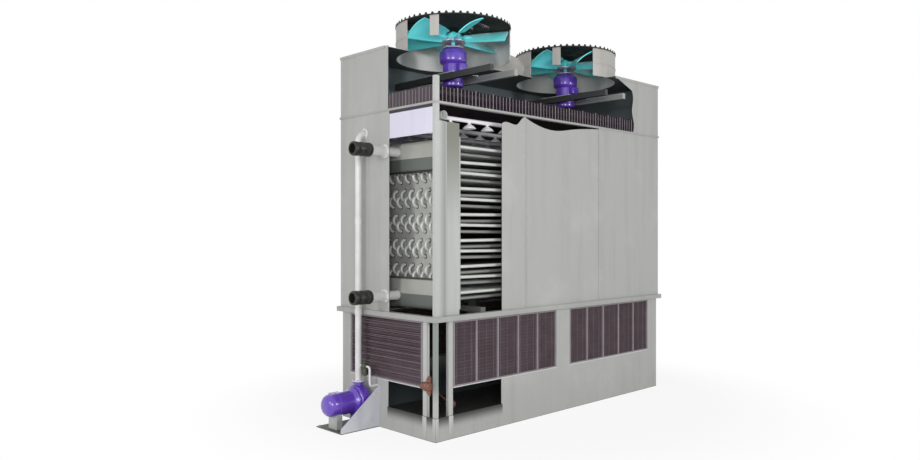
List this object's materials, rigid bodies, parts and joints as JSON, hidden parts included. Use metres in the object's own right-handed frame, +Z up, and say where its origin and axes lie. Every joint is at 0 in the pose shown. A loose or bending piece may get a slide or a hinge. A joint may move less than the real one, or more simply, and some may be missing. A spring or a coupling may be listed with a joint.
{
  "type": "evaporative condenser",
  "caption": "Box-shaped evaporative condenser, cut away to show its tube coil, spray pipes, louvred air inlet, water basin, pump and roof fans.",
  "frame": {"origin": "centre of the casing's base, on the floor", "axes": "+X along the long side, away from the pump end; -Y the cut-open front; +Z up"},
  "size_m": [3.986, 1.431, 3.83],
  "materials": {
    "casing_sheet": "satin grey coated sheet",
    "frame_steel": "satin darker grey steel",
    "stack_sheet": "satin pale grey sheet",
    "coil_steel": "dull galvanized steel",
    "pipe_grey": "smooth pale grey pipe",
    "black_cap": "matt black",
    "pale_liner": "matt very pale lavender",
    "louvre_plastic": "matt dark purple brown",
    "eliminator_plastic": "matt dark purple brown",
    "fan_blue": "smooth cyan",
    "guard_wire": "matt near-black wire",
    "motor_purple": "smooth purple paint",
    "valve_body": "dull orange"
  },
  "bodies": {
    "casing": {"basin_back_wall": "casing_sheet", "basin_floor": "casing_sheet", "basin_front_wall": "casing_sheet", "basin_left_wall": "casing_sheet", "basin_right_wall": "casing_sheet", "bleed_pipe": "pipe_grey", "coil_back_panels": "casing_sheet", "coil_corner_column": "frame_steel", "coil_front_panels": "casing_sheet", "coil_headers": "coil_steel", "coil_left_panel": "casing_sheet", "coil_right_panel": "casing_sheet", "coil_side_plate": "frame_steel", "coil_support_beams": "frame_steel", "coil_tubes": "coil_steel", "connection_pipes": "pipe_grey", "corner_post_upper": "frame_steel", "couplings": "black_cap", "drift_eliminators": "eliminator_plastic", "fan_back_panel": "casing_sheet", "fan_deck": "frame_steel", "fan_front_panel": "casing_sheet", "fan_guards": "guard_wire", "fan_left_panel": "casing_sheet", "fan_motors": "motor_purple", "fan_right_panel": "casing_sheet", "fan_stacks": "stack_sheet", "float_valve": "valve_body", "inlet_corner_panels": "casing_sheet", "inlet_mid_posts": "casing_sheet", "inlet_posts": "frame_steel", "louvre_frames": "louvre_plastic", "louvre_packs": "louvre_plastic", "motor_beams": "frame_steel", "motor_plates": "frame_steel", "pump_base_plate": "frame_steel", "pump_foot": "frame_steel", "pump_gusset": "frame_steel", "pump_motor": "motor_purple", "pump_volute": "motor_purple", "riser_pipe": "pipe_grey", "seam_collar": "frame_steel", "section_rail": "frame_steel", "spray_baffles": "pale_liner", "spray_branches": "pipe_grey", "spray_header": "pipe_grey"},
    "fan_rotor_1": {"fan_hub_1": "fan_blue", "fan_blades_1": "fan_blue"},
    "fan_rotor_2": {"fan_hub_2": "fan_blue", "fan_blades_2": "fan_blue"},
    "float_arm": {"float_arm": "valve_body"}
  },
  "joints": [
    {"name": "fan_spin_1", "type": "hinge", "parent": "casing", "child": "fan_rotor_1", "pos_m": [-0.8925, 0, 3.676], "axis": [0, 0, 1], "continuous": true},
    {"name": "fan_spin_2", "type": "hinge", "parent": "casing", "child": "fan_rotor_2", "pos_m": [0.8925, 0, 3.676], "axis": [0, 0, 1], "continuous": true},
    {"name": "float_swing", "type": "hinge", "parent": "casing", "child": "float_arm", "pos_m": [-1.685, -0.5935, 0.44], "axis": [0, -1, 0], "range_deg": [0, 25]}
  ]
}
